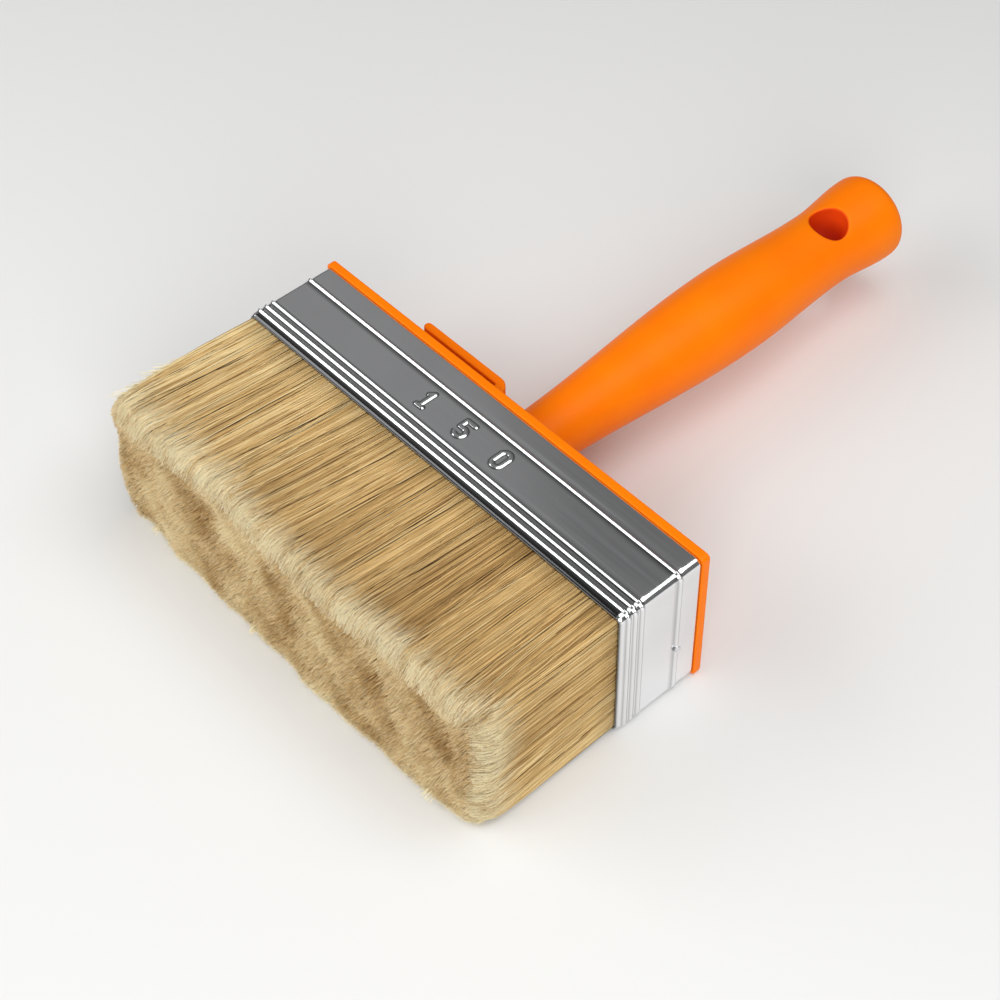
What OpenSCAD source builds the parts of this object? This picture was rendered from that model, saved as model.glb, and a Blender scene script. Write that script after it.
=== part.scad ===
// Block brush: a wide head of bristle set in a beaded tinplate ferrule, with a
// moulded plastic block, a bucket hook and a grip handle with a hanging hole.
// The brush lies on one broad side. X runs across the width, +Y points to the
// handle, +Z is up. The origin is on the resting edge, midway in the flange.

/* [Head] */
// Outside width of the ferrule
head_w = 151; // [120:1:180]
// Outside thickness of the ferrule
head_t = 48; // [42:1:56]
// Depth of the ferrule, from the flange to its front lip
ferrule_depth = 28.8; // [28:0.1:36]
// Thickness of the tinplate sheet
sheet_t = 0.4; // [0.3:0.05:0.6]
// Outside radius of the ferrule's corners
corner_r = 2.2; // [1.6:0.1:4]
// How far the front lip turns in towards the bristles
lip_in = 0.5; // [0.2:0.1:0.8]
// Length of the turned lip
lip_len = 1.2; // [0.8:0.1:1.5]

/* [Beads] */
// Height of a pressed bead above the sheet
bead_h = 0.5; // [0.4:0.05:1.0]
// Width of a pressed bead
bead_w = 2.0; // [1.4:0.1:2.3]
// Number of beads in the front group
bead_count = 3; // [1:1:4]
// Spacing of the beads in the front group
bead_pitch = 2.4; // [2.4:0.05:3]
// From the front lip to the crest of the first bead
bead_front = 3; // [2.5:0.1:4]
// From the flange to the crest of the rear bead
bead_rear = 7.5; // [4:0.1:8]

/* [Embossing] */
// Height of the embossed figures
figure_h = 7; // [5:0.5:8]
// Width of the strokes of the figures
stroke_w = 1.1; // [0.8:0.1:1.4]
// Outside radius of the figures' bowls
bowl_r = 2.15; // [1.9:0.05:2.4]
// Height of the gap in the bowl of the five
bowl_gap = 1.6; // [1.2:0.1:2]
// How far the figures stand out of the sheet
figure_rise = 0.4; // [0.2:0.1:0.8]
// Distance between the middles of neighbouring figures
figure_pitch = 15; // [9:0.5:20]

/* [Block] */
// Thickness of the block's flange
flange_t = 2.6; // [2:0.1:5]
// How far the flange stands proud of the ferrule all round
flange_proud = 0.5; // [0.5:0.1:2]
// Radius of the flange's corners
flange_r = 1.4; // [1:0.1:3]
// How far the hollow plug reaches into the ferrule
plug_depth = 12; // [11:0.5:14]
// Wall of the hollow plug
plug_wall = 2.6; // [2:0.1:4]
// Radius of the corners inside the hollow plug
plug_inner_r = 0.8; // [0.5:0.1:2]
// Thickness of the ribs inside the plug
rib_t = 2; // [1.5:0.1:3]
// Distance of the outer ribs from the middle of the block
rib_x = 38; // [25:1:50]
// Radius of the collar that the handle stands on
collar_r = 10.4; // [9.6:0.1:13]
// Height of the collar
collar_h = 1.2; // [0.5:0.1:3]
// Wall round the handle's socket
socket_wall = 3; // [2:0.1:5]
// Floor of the handle's socket, under the screw's head
socket_floor = 2.4; // [1.5:0.1:3]

/* [Hook] */
// Gap between the block and the hook's tongue
slot_w = 4.4; // [4:0.1:8]
// Thickness of the tongue
tongue_t = 2.7; // [2:0.1:5]
// Length of the slot behind the tongue
slot_len = 31.5; // [20:0.5:40]
// Thickness of the web that carries the tongue
web_t = 3.4; // [2.4:0.1:5]
// From the middle of the block to the web's near side
hook_x = 7.3; // [7:0.1:14]
// Outside radius of the hook's bend
hook_r = 4; // [1:0.1:5]
// Clearance between the hook's web and the handle
hook_gap = 0.6; // [0.3:0.1:0.8]
// How far the tongue stops short of the flange, above and below
tongue_inset = 5.6; // [2:0.2:10]

/* [Handle] */
// Length of the handle behind the collar
handle_len = 152.4; // [130:0.2:190]
// Radius of the handle at its root
root_r = 9; // [8:0.1:9.5]
// Largest radius of the grip
grip_r = 13.8; // [11:0.1:16]
// From the root to the fullest place of the grip
grip_at = 87; // [60:1:95]
// Radius of the waist before the end
neck_r = 12.1; // [10:0.1:14]
// From the root to the waist
neck_at = 126; // [100:1:128]
// Radius of the flared end
end_r = 13.8; // [12:0.1:17]
// Length of the rounding at the flared end
end_round = 6; // [5:0.2:12]
// Radius of the spigot that fits the block's socket
spigot_r = 6.5; // [5:0.1:7.5]
// Length of the spigot
spigot_len = 9; // [6:0.5:9]
// Radius of the hanging hole
hole_r = 5.9; // [4:0.1:7]
// From the handle's end to the middle of the hanging hole
hole_from_end = 25.4; // [20:0.1:30]
// Angle by which the handle, and with it the hanging hole, is turned in its socket
handle_turn = 10; // [0:1:15]

/* [Fasteners] */
// Radius of the handle screw's thread
screw_r = 1.8; // [1.5:0.1:2.5]
// Length of the handle screw under its head
screw_len = 22; // [18:0.5:30]
// Length of the handle screw's point
point_len = 3.6; // [2:0.2:5]
// Radius at the tip of the handle screw's point
point_r = 0.3; // [0.2:0.05:0.5]
// Radius of the handle screw's head
screw_head_r = 3.8; // [3.2:0.1:5]
// Height of the handle screw's head
screw_head_h = 2.2; // [1.5:0.1:2.4]
// Length of each slot of the cross recess in the screw's head
recess_len = 5; // [4:0.1:5.6]
// Width of each slot of the cross recess
recess_w = 1; // [0.6:0.1:1.4]
// Depth of the cross recess
recess_depth = 1.1; // [0.6:0.1:1.2]
// Radius of a tack's shank
tack_r = 0.6; // [0.4:0.05:0.9]
// Length of a tack's shank
tack_len = 5; // [4:0.5:7]
// Radius of a tack's head
tack_head_r = 1.1; // [0.9:0.05:1.6]
// Thickness of a tack's head
tack_head_h = 0.35; // [0.2:0.05:0.6]
// Height of the tacks above the lower side of the ferrule
tack_z = 18; // [8:0.5:30]

/* [Bristle] */
// Length of the bristles in front of the ferrule
bristle_out = 52; // [40:1:80]
// Thickness of the set resin round the bristle roots
resin_t = 6; // [4:0.5:7]
// Thickness of a filler strip between two rows
strip_t = 4; // [2:0.5:6]
// Length of a filler strip
strip_len = 6; // [4:0.5:7]
// Width left free at each end of a filler strip
strip_inset = 2; // [1:0.5:6]
// Length near the tips along which the bristles lie on the table
rest_len = 17; // [8:1:30]
// How far the bristles swell above the ferrule's mouth at the tips
swell_up = 1; // [0:0.1:1.5]
// How far the bristles narrow at each end towards the tips
taper_in = 0; // [0:0.1:3]
// Radius of the rounded tip at both ends of the head
tip_end_r = 6; // [4:0.5:18]
// Radius of the rounded tip along the upper edge
tip_top_r = 7; // [3:0.5:9]
// Radius of the rounded tip along the lower edge
tip_low_r = 4; // [2:0.5:6]

/* [Fits] */
// Clearance between pieces that slide together
fit_gap = 0.1; // [0.05:0.05:0.2]
// Clearance round the screw's and the tacks' shanks
shank_gap = 0.02; // [0.01:0.01:0.05]

/* [Hidden] */
$fn = 64;
curve_steps = 10;          // points along each curved stretch of an outline
overlap = 1;               // how far a cut runs past the face it opens

// the flange or the beads touch the table, whichever reach further out
low_z = max(flange_proud, bead_h);
mid_z = head_t / 2 + low_z;
flange_back = flange_t / 2;
flange_front = -flange_t / 2;
ferrule_front = flange_front - ferrule_depth;
plug_front = flange_front - plug_depth;
resin_front = plug_front - resin_t;
tip_y = ferrule_front - bristle_out;

// half sizes of the ferrule's flat inside, and of what lies in it
inside_w = head_w / 2 - sheet_t;
inside_t = head_t / 2 - sheet_t;
fill_w = inside_w - fit_gap;
fill_t = inside_t - fit_gap;
fill_r = corner_r - sheet_t - fit_gap;
mouth_w = inside_w - lip_in - fit_gap;
mouth_t = inside_t - lip_in - fit_gap;

root_y = flange_back + collar_h;
hook_back = flange_back + slot_w + tongue_t;
tongue_h = head_t + 2 * flange_proud - 2 * tongue_inset;
end_y = root_y + handle_len;
hole_y = end_y - hole_from_end;
socket_y = root_y - spigot_len - fit_gap;
screw_y = socket_y - socket_floor;
tack_y = flange_front - bead_rear;

// crests of all beads, from the front lip backwards
bead_ys = concat([for (i = [0 : bead_count - 1]) ferrule_front + bead_front + i * bead_pitch],
                 [flange_front - bead_rear]);

// points of an arc about c, from angle a0 to angle a1
function arc(c, r, a0, a1) =
    [for (i = [0 : curve_steps]) let (a = a0 + (a1 - a0) * i / curve_steps)
        c + r * [cos(a), sin(a)]];

// value that runs smoothly from a to b as t runs from 0 to 1
function ease(a, b, t) = a + (b - a) * (1 - cos(180 * t)) / 2;

// ---- ferrule ----

// one bead: its outline's points as [y, height above the sheet]
function bead(y) =
    [for (i = [0 : curve_steps]) let (t = 2 * i / curve_steps - 1)
        [y + t * bead_w / 2, bead_h * (1 + cos(180 * t)) / 2]];

// outer line of the sheet from its front lip to its rear edge
function sheet_line() =
    concat([[ferrule_front, -lip_in], [ferrule_front + lip_len, 0]],
           [for (y = bead_ys) each bead(y)],
           [[flange_front, 0]]);

// closed outline of the sheet; base is the distance of its outer face from the
// axis that it is bent about, and side turns the outline over
function sheet_outline(base = 0, side = 1) =
    let (line = sheet_line(), last = len(line) - 1)
    concat([for (p = line) [p[0] * side, base + p[1]]],
           [for (i = [last : -1 : 0]) [line[i][0] * side, base + line[i][1] - sheet_t]]);

module wall(length) {
    rotate([90, 0, 90])
        linear_extrude(height = length, center = true) polygon(sheet_outline());
}

module corner() {
    rotate([90, 0, 0])
        rotate_extrude(angle = 90)
            polygon([for (p = sheet_outline(corner_r, -1)) [p[1], p[0]]]);
}

module band() {
    for (turn = [0, 180]) {
        translate([0, 0, mid_z]) rotate([0, turn, 0])
            translate([0, 0, head_t / 2]) wall(head_w - 2 * corner_r);
        translate([0, 0, mid_z]) rotate([0, turn + 90, 0])
            translate([0, 0, head_w / 2]) wall(head_t - 2 * corner_r);
    }
    for (sx = [0, 1], sz = [0, 1])
        translate([0, 0, mid_z]) mirror([sx, 0, 0]) mirror([0, 0, sz])
            translate([head_w / 2 - corner_r, 0, head_t / 2 - corner_r]) corner();
}

// flat figures of height figure_h, centred on the origin
module bar(w, h) { square([w, h], center = true); }

// its foot is three strokes wide, and its flag reaches two strokes to the left
module figure_one() {
    bar(stroke_w, figure_h);
    translate([0, (stroke_w - figure_h) / 2]) bar(3 * stroke_w, stroke_w);
    translate([-stroke_w, figure_h / 2 - stroke_w]) bar(2 * stroke_w, stroke_w);
}

// the stem ends in the bowl's upper stroke, and the gap lies right under it
module figure_five() {
    bowl_y = bowl_r - figure_h / 2;
    stem_low = bowl_y + bowl_r - stroke_w;
    translate([0, (figure_h - stroke_w) / 2]) bar(2 * bowl_r, stroke_w);
    translate([-bowl_r, stem_low]) square([stroke_w, figure_h / 2 - stem_low]);
    difference() {
        translate([0, bowl_y]) circle(bowl_r);
        translate([0, bowl_y]) circle(bowl_r - stroke_w);
        translate([-bowl_r - overlap, stem_low - bowl_gap])
            square([bowl_r + overlap, bowl_gap]);
    }
}

module figure_zero() {
    rise = figure_h / 2 - bowl_r;
    difference() {
        union() {
            for (s = [-1, 1]) translate([0, s * rise]) circle(bowl_r);
            bar(2 * bowl_r, 2 * rise);
        }
        for (s = [-1, 1]) translate([0, s * rise]) circle(bowl_r - stroke_w);
        bar(2 * (bowl_r - stroke_w), 2 * rise);
    }
}

module figures() {
    front_crest = bead_ys[bead_count - 1];
    flat_mid = (front_crest + tack_y) / 2;
    translate([0, flat_mid, mid_z + head_t / 2 - sheet_t / 2])
        linear_extrude(height = figure_rise + sheet_t / 2) {
            translate([-figure_pitch, 0]) figure_one();
            figure_five();
            translate([figure_pitch, 0]) figure_zero();
        }
}

module tack_hole() {
    for (s = [-1, 1])
        translate([s * (head_w / 2 + bead_h + overlap), tack_y, low_z + tack_z])
            rotate([0, -90 * s, 0])
                cylinder(r = tack_r + shank_gap, h = bead_h + tack_len + 2 * overlap);
}

module ferrule() {
    color("silver") difference() {
        union() {
            band();
            figures();
        }
        tack_hole();
    }
}

// two small tacks through the rear bead, one at each end of the head
module ferrule_tacks() {
    color("dimgray") for (s = [0, 1]) mirror([s, 0, 0])
        translate([head_w / 2 + bead_h, tack_y, low_z + tack_z]) rotate([0, -90, 0]) {
            translate([0, 0, -tack_head_h]) cylinder(r = tack_head_r, h = tack_head_h);
            cylinder(r = tack_r, h = tack_len);
        }
}

// ---- block ----

// rounded bar along Y with half sizes a and b
module round_bar(a, b, r, y0, y1) {
    translate([0, y1, mid_z]) rotate([90, 0, 0]) linear_extrude(height = y1 - y0) {
        square([2 * a, 2 * (b - r)], center = true);
        square([2 * (a - r), 2 * b], center = true);
        for (sx = [-1, 1], sz = [-1, 1]) translate([sx * (a - r), sz * (b - r)]) circle(r);
    }
}

// round rod along Y on the handle's axis
module rod(r, y0, y1) {
    translate([0, y0, mid_z]) rotate([-90, 0, 0]) cylinder(r = r, h = y1 - y0);
}

module flange() {
    round_bar(head_w / 2 + flange_proud, head_t / 2 + flange_proud, flange_r,
              flange_front, flange_back);
}

module plug() {
    core_w = fill_w - plug_wall;
    core_t = fill_t - plug_wall;
    difference() {
        round_bar(fill_w, fill_t, fill_r, plug_front, flange_front);
        difference() {
            round_bar(core_w, core_t, plug_inner_r, plug_front - overlap, flange_front);
            for (x = [-rib_x, 0, rib_x])
                translate([x - rib_t / 2, screw_y, 0])
                    cube([rib_t, flange_front - screw_y, head_t + flange_proud]);
            translate([-core_w, screw_y, mid_z - rib_t / 2])
                cube([2 * core_w, flange_front - screw_y, rib_t]);
        }
    }
}

// outline of the hook seen from above: a web that bends into a tongue with a round end
function hook_outline() =
    let (tip_r = tongue_t / 2, tip_x = tip_r - hook_x - web_t - slot_len)
    concat([[-hook_x, flange_back]],
           arc([-hook_x - hook_r, hook_back - hook_r], hook_r, 0, 90),
           arc([tip_x, hook_back - tip_r], tip_r, 90, 270),
           [[-hook_x - web_t, hook_back - tongue_t], [-hook_x - web_t, flange_back]]);

module hook() {
    difference() {
        translate([0, 0, mid_z]) linear_extrude(height = tongue_h, center = true)
            polygon(hook_outline());
        rod(root_r + hook_gap, root_y, hook_back + overlap);
    }
}

module block() {
    color("darkorange") difference() {
        union() {
            flange();
            plug();
            rod(collar_r, flange_front, root_y);
            rod(spigot_r + socket_wall, screw_y, flange_front);
            hook();
        }
        rod(spigot_r + fit_gap, socket_y, root_y + overlap);
        rod(screw_r + shank_gap, screw_y - overlap, socket_y + overlap);
        tack_hole();
    }
}

// ---- handle ----

// outline of the grip as [radius, distance from the root]
function grip_outline() =
    let (end_at = handle_len - end_round, n = curve_steps)
    concat([[0, 0]],
           [for (i = [0 : n]) [ease(root_r, grip_r, i / n), grip_at * i / n]],
           [for (i = [1 : n]) [ease(grip_r, neck_r, i / n), grip_at + (neck_at - grip_at) * i / n]],
           [for (i = [1 : n]) [ease(neck_r, end_r, i / n), neck_at + (end_at - neck_at) * i / n]],
           [for (i = [1 : n - 1]) let (a = 90 * i / n)
               [end_r * pow(cos(a), 2 / 3), end_at + end_round * pow(sin(a), 2 / 3)]],
           [[0, handle_len]]);

module handle() {
    color("darkorange") translate([0, root_y, mid_z]) rotate([0, handle_turn, 0]) difference() {
        union() {
            rotate([-90, 0, 0]) rotate_extrude() polygon(grip_outline());
            translate([0, socket_y + fit_gap - root_y, 0]) rotate([-90, 0, 0])
                cylinder(r = spigot_r, h = spigot_len + overlap);
        }
        translate([0, hole_y - root_y, -end_r - overlap])
            cylinder(r = hole_r, h = 2 * (end_r + overlap));
        translate([0, socket_y - root_y, 0]) rotate([-90, 0, 0])
            cylinder(r = screw_r + shank_gap, h = screw_y + screw_len + overlap - socket_y);
    }
}

// ---- handle screw ----

module handle_screw() {
    head_y = screw_y - screw_head_h;
    point_y = screw_y + screw_len - point_len;
    color("lightgray") difference() {
        union() {
            rod(screw_head_r, head_y, screw_y);
            rod(screw_r, screw_y, point_y);
            translate([0, point_y, mid_z]) rotate([-90, 0, 0])
                cylinder(r1 = screw_r, r2 = point_r, h = point_len);
        }
        for (turn = [0, 90])
            translate([0, head_y, mid_z]) rotate([0, turn, 0])
                cube([recess_len, 2 * recess_depth, recess_w], center = true);
    }
}

// ---- bristle head ----

module resin() {
    color("saddlebrown") round_bar(fill_w, fill_t, fill_r, resin_front, plug_front);
}

// a filler strip; side is 1 for the upper one and -1 for the lower one
module strip(side) {
    z = mid_z + side * (row_t + strip_t) / 2;
    color("tan") translate([strip_inset - mouth_w, resin_front - strip_len, z - strip_t / 2])
        cube([2 * (mouth_w - strip_inset), strip_len, strip_t]);
}

// rows of bristle, with the thickness of one at its root and past the strips
rows = 3;
row_t = (2 * mouth_t - (rows - 1) * strip_t) / rows;
free_t = 2 * mouth_t / rows;

// outline of the whole bristle head seen from the end, as [y, z]
function end_outline() =
    let (low = mid_z - mouth_t, high = mid_z + mouth_t, top = high + swell_up)
    concat([[resin_front, low], [ferrule_front, low], [tip_y + rest_len, 0]],
           arc([tip_y + tip_low_r, tip_low_r], tip_low_r, 270, 180),
           arc([tip_y + tip_top_r, top - tip_top_r], tip_top_r, 180, 90),
           [[ferrule_front, high], [resin_front, high]]);

// outline of the whole bristle head seen from above, as [x, y]
function top_outline() =
    let (tip_w = mouth_w - taper_in)
    concat([[mouth_w, resin_front], [-mouth_w, resin_front], [-mouth_w, ferrule_front]],
           arc([tip_end_r - tip_w, tip_y + tip_end_r], tip_end_r, 180, 270),
           arc([tip_w - tip_end_r, tip_y + tip_end_r], tip_end_r, 270, 360),
           [[mouth_w, ferrule_front]]);

// outline of the upper side of the middle row, or of its lower side, as [y, z]
function parting(side, edge) =
    [[resin_front, mid_z + side * (row_t / 2 + edge * strip_t)],
     [resin_front - strip_len, mid_z + side * (row_t / 2 + edge * strip_t)],
     [ferrule_front, mid_z + side * free_t / 2],
     [tip_y - overlap, mid_z + side * free_t / 2]];

module bristle_row(band_outline) {
    color("burlywood") intersection() {
        linear_extrude(height = 2 * mid_z + swell_up) polygon(top_outline());
        rotate([90, 0, 90]) linear_extrude(height = head_w, center = true)
            polygon(end_outline());
        rotate([90, 0, 90]) linear_extrude(height = head_w, center = true)
            polygon(band_outline);
    }
}

function reversed(list) = [for (i = [len(list) - 1 : -1 : 0]) list[i]];

module strip_upper() { strip(1); }

module strip_lower() { strip(-1); }

module bristles_upper() {
    high = 2 * mid_z + swell_up;
    bristle_row(concat(parting(1, 1), [[tip_y - overlap, high], [resin_front, high]]));
}

module bristles_middle() {
    bristle_row(concat(parting(1, 0), reversed(parting(-1, 0))));
}

module bristles_lower() {
    bristle_row(concat(parting(-1, 1), [[tip_y - overlap, -overlap], [resin_front, -overlap]]));
}

ferrule();
ferrule_tacks();
block();
handle();
handle_screw();
resin();
strip_upper();
strip_lower();
bristles_upper();
bristles_middle();
bristles_lower();
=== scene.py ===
"""Looks of a bristle block brush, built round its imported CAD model.

The geometry functions work in millimetres in the model's own frame: X runs across the head,
+Y points to the handle and +Z is up. Lengths become metres when a mesh is made.
"""
import math

import bpy
import numpy as np
from mathutils import Matrix, Vector


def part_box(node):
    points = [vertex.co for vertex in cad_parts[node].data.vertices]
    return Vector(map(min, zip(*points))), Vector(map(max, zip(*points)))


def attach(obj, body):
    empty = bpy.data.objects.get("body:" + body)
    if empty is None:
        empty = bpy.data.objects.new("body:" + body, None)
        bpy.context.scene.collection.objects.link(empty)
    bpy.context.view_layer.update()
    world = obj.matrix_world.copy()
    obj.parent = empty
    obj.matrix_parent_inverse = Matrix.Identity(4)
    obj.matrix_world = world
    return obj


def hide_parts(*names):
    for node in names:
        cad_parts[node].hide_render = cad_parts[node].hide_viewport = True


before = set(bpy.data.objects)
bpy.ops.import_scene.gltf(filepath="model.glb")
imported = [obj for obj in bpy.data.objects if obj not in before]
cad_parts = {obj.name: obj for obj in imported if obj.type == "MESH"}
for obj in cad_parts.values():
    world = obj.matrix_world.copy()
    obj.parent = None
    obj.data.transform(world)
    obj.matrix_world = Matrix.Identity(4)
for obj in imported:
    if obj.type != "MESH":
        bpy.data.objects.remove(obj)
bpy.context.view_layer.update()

MM = 0.001
RNG = np.random.default_rng(515)


def node_box(node):
    """Lowest and highest corner of a CAD node, in millimetres."""
    low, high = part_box(node)
    return np.array(low) / MM, np.array(high) / MM


# ---- sizes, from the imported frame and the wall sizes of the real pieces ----

FERRULE_LOW, FERRULE_HIGH = node_box("ferrule")
RESIN_LOW, RESIN_HIGH = node_box("resin")
ROW_LOW, ROW_HIGH = node_box("bristles_middle")

# the sheet: beads, the grooves behind them, the wall, its corners and its turned lip
BEAD_H = 0.5
BEAD_W = 2.0
BEAD_PITCH = 2.4
BEAD_FRONT = 3.0
BEAD_COUNT = 3
BEAD_REAR = 7.5
BEAD_RISE = 0.9
BEAD_FALL = 0.75
GROOVE = 0.16
BEAD_TAILS = (0.7, 0.7, 1.7, 1.7)  # how far back each groove runs
BEAD_PAINTED_SHADE = (0.0, 0.25, 0.4, 0.1)  # how dark the painted shade on each bead's front slope is
SHEET_T = 0.4
CORNER_R = 2.2
LIP_IN = 0.5
LIP_LEN = 1.2

# the sheet between its beads, and its two ends
MID_Z = (FERRULE_LOW[2] + FERRULE_HIGH[2]) / 2
HALF_W = FERRULE_HIGH[0] - BEAD_H
HALF_T = FERRULE_HIGH[2] - BEAD_H - MID_Z
FRONT_Y = FERRULE_LOW[1]
BACK_Y = FERRULE_HIGH[1]
BEAD_YS = [FRONT_Y + BEAD_FRONT + i * BEAD_PITCH for i in range(BEAD_COUNT)]
BEAD_YS.append(BACK_Y - BEAD_REAR)

# the embossed figures
FIGURE_H = 7.0
FIGURE_RISE = 0.32
FIGURE_PITCH = 15.0
STROKE_W = 1.1
BOWL_R = 2.15
FIGURE_Y = (BEAD_YS[BEAD_COUNT - 1] + BEAD_YS[BEAD_COUNT]) / 2

# the block: flange, plug with ribs, collar and bucket hook
FLANGE_T = 2.6
FLANGE_PROUD = 0.5
FLANGE_R = 1.4
FLANGE_BACK = BACK_Y + FLANGE_T
PLUG_WALL = 2.6
RIB_T = 2.0
RIB_X = 38.0
COLLAR_R = 10.4
COLLAR_H = 1.2
ROOT_Y = FLANGE_BACK + COLLAR_H
SLOT_W = 4.4
TONGUE_T = 2.7
SLOT_LEN = 31.5
WEB_T = 3.4
HOOK_X = 7.3
HOOK_R = 4.0
HOOK_GAP = 0.6
HOOK_BACK = FLANGE_BACK + SLOT_W + TONGUE_T
TONGUE_INSET = 5.6
FLANGE_EDGE = 0.35
COLLAR_EDGE = 0.4
HOOK_EDGE = 0.6
HOOK_FILLET = 0.9
COLLAR_FILLET = 0.7
PLUG_OPEN = 9.0

# the handle: its radii and how far along they lie, spigot, hanging hole and screw
ROOT_R = 9.0
GRIP_R = 13.8
GRIP_AT = 87.0
NECK_R = 12.1
NECK_AT = 126.0
END_R = 13.8
END_ROUND = 6.0
SPIGOT_R = 6.5
SPIGOT_LEN = 9.0
HOLE_R = 5.9
HOLE_FROM_END = 25.4
HOLE_EDGE = 0.9
HANDLE_TURN = math.radians(10)
END_Y = node_box("handle")[1][1]
HOLE_Y = END_Y - HOLE_FROM_END
SOCKET_WALL = 3.0
SOCKET_FLOOR = 2.4
SCREW_R = 1.8
SCREW_LEN = 22.0
FIT_GAP = 0.1
SCREW_GAP = 0.02
SOCKET_Y = ROOT_Y - SPIGOT_LEN - FIT_GAP
SCREW_Y = SOCKET_Y - SOCKET_FLOOR

TIP_Y = ROW_LOW[1]


# ---- meshes ----

def new_object(name, data):
    """Object in the scene that shows a mesh, a lamp or a camera."""
    thing = bpy.data.objects.new(name, data)
    bpy.context.scene.collection.objects.link(thing)
    return thing


def make_piece(name, points, faces, normals=None, uvs=None):
    """Smooth mesh object from points in millimetres; faces is a list of arrays (count, corners)."""
    faces = [np.asarray(f) for f in faces if len(f)]
    corners = np.concatenate([f.ravel() for f in faces]).astype(np.int32)
    sizes = np.concatenate([np.full(len(f), f.shape[1]) for f in faces]).astype(np.int32)
    starts = (np.cumsum(sizes) - sizes).astype(np.int32)
    mesh = bpy.data.meshes.new(name)
    mesh.vertices.add(len(points))
    mesh.vertices.foreach_set("co", (np.asarray(points) * MM).astype(np.float32).ravel())
    mesh.loops.add(len(corners))
    mesh.loops.foreach_set("vertex_index", corners)
    mesh.polygons.add(len(sizes))
    mesh.polygons.foreach_set("loop_start", starts)
    mesh.polygons.foreach_set("loop_total", sizes)
    if uvs is not None:
        layer = mesh.uv_layers.new(name="OFBake")
        flat_uv = np.concatenate([u.ravel() for u in uvs])
        layer.data.foreach_set("uv", flat_uv.astype(np.float32))
    mesh.update(calc_edges=True)
    mesh.polygons.foreach_set("use_smooth", np.ones(len(sizes), bool))
    if normals is not None:
        mesh.normals_split_custom_set_from_vertices(normals.tolist())
    return new_object(name, mesh)


def finish_piece(piece, material, slot, *nodes):
    """Gives a piece its material and lets it stand for CAD nodes; slot is not used."""
    piece.data.materials.append(material)
    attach(piece, "root")
    for node in nodes:
        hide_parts(node)


# ---- signed distance fields ----

def smooth_min(a, b, r):
    """Union of two fields with a fillet of about r."""
    h = np.clip(0.5 + 0.5 * (b - a) / r, 0, 1)
    return b * (1 - h) + a * h - r * h * (1 - h)


def smooth_max(a, b, r):
    """Intersection of two fields with an edge rounded by about r."""
    return -smooth_min(-a, -b, r)


def rounded_rect(u, v, half_u, half_v, r):
    """Distance to a rounded rectangle about the origin."""
    qu = np.abs(u) - (half_u - r)
    qv = np.abs(v) - (half_v - r)
    return np.hypot(np.maximum(qu, 0), np.maximum(qv, 0)) + np.minimum(np.maximum(qu, qv), 0) - r


def span(v, low, high):
    """Distance to the slab between two planes."""
    return np.abs(v - (low + high) / 2) - (high - low) / 2


def extruded(flat, slab, edge):
    """A flat outline's distance swept through a slab, with rims rounded by edge."""
    u = flat + edge
    v = slab + edge
    return np.minimum(np.maximum(u, v), 0) + np.hypot(np.maximum(u, 0), np.maximum(v, 0)) - edge


def surface_nets(field, lines):
    """Closed quad surface of field = 0 on a grid given by its lines along x, y and z."""
    values = field(*np.meshgrid(*lines, indexing="ij"))
    cells = np.array(values.shape) - 1
    total = np.zeros((cells.prod(), 3))
    count = np.zeros(cells.prod())
    quads = []
    for axis in range(3):
        u, v = (axis + 1) % 3, (axis + 2) % 3
        n = values.shape[axis]
        low = np.take(values, range(n - 1), axis)
        high = np.take(values, range(1, n), axis)
        at = np.argwhere((low < 0) != (high < 0))
        a = low[tuple(at.T)]
        b = high[tuple(at.T)]
        crossing = np.stack([lines[d][at[:, d]] for d in range(3)], 1)
        step = lines[axis][at[:, axis] + 1] - lines[axis][at[:, axis]]
        crossing[:, axis] += step * a / (a - b)
        around = []
        for du, dv in ((-1, -1), (0, -1), (0, 0), (-1, 0)):
            cell = at.copy()
            cell[:, u] += du
            cell[:, v] += dv
            index = np.ravel_multi_index(tuple(cell.T), tuple(cells))
            around.append(index)
            for d in range(3):
                total[:, d] += np.bincount(index, crossing[:, d], len(count))
            count += np.bincount(index, minlength=len(count))
        ring = np.stack(around, 1)
        quads.append(np.where((a < 0)[:, None], ring, ring[:, ::-1]))
    used = np.flatnonzero(count)
    number = np.full(len(count), -1)
    number[used] = np.arange(len(used))
    return total[used] / count[used, None], number[np.concatenate(quads)]


def slope(field, points, e=0.01):
    """Gradient of a field at points."""
    return np.stack([(field(*(points + e * axis).T) - field(*(points - e * axis).T)) / (2 * e)
                     for axis in np.eye(3)], 1)


def solid_from(name, field, lines, rounds=5, most=0.25, flattest=0.05):
    """Mesh object of a field, with its points moved onto the true surface in a few rounds."""
    points, quads = surface_nets(field, lines)
    for _ in range(rounds):
        grad = slope(field, points)
        size = np.maximum((grad ** 2).sum(1), flattest)
        move = -grad * (field(*points.T) / size)[:, None]
        length = np.linalg.norm(move, axis=1)[:, None]
        points = points + move * np.minimum(1, most / np.maximum(length, 1e-9))
    points[:, 2] = np.maximum(points[:, 2], 0)
    normals = slope(field, points)
    normals /= np.maximum(np.linalg.norm(normals, axis=1), 1e-9)[:, None]
    return make_piece(name, points, [quads], normals)


def grid_lines(start, *stretches):
    """Grid lines from a start through stretches (end, step)."""
    lines = [np.array([start])]
    for end, step in stretches:
        count = max(1, round((end - start) / step))
        lines.append(np.linspace(start, end, count + 1)[1:])
        start = end
    return np.concatenate(lines)


# ---- materials ----

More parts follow.
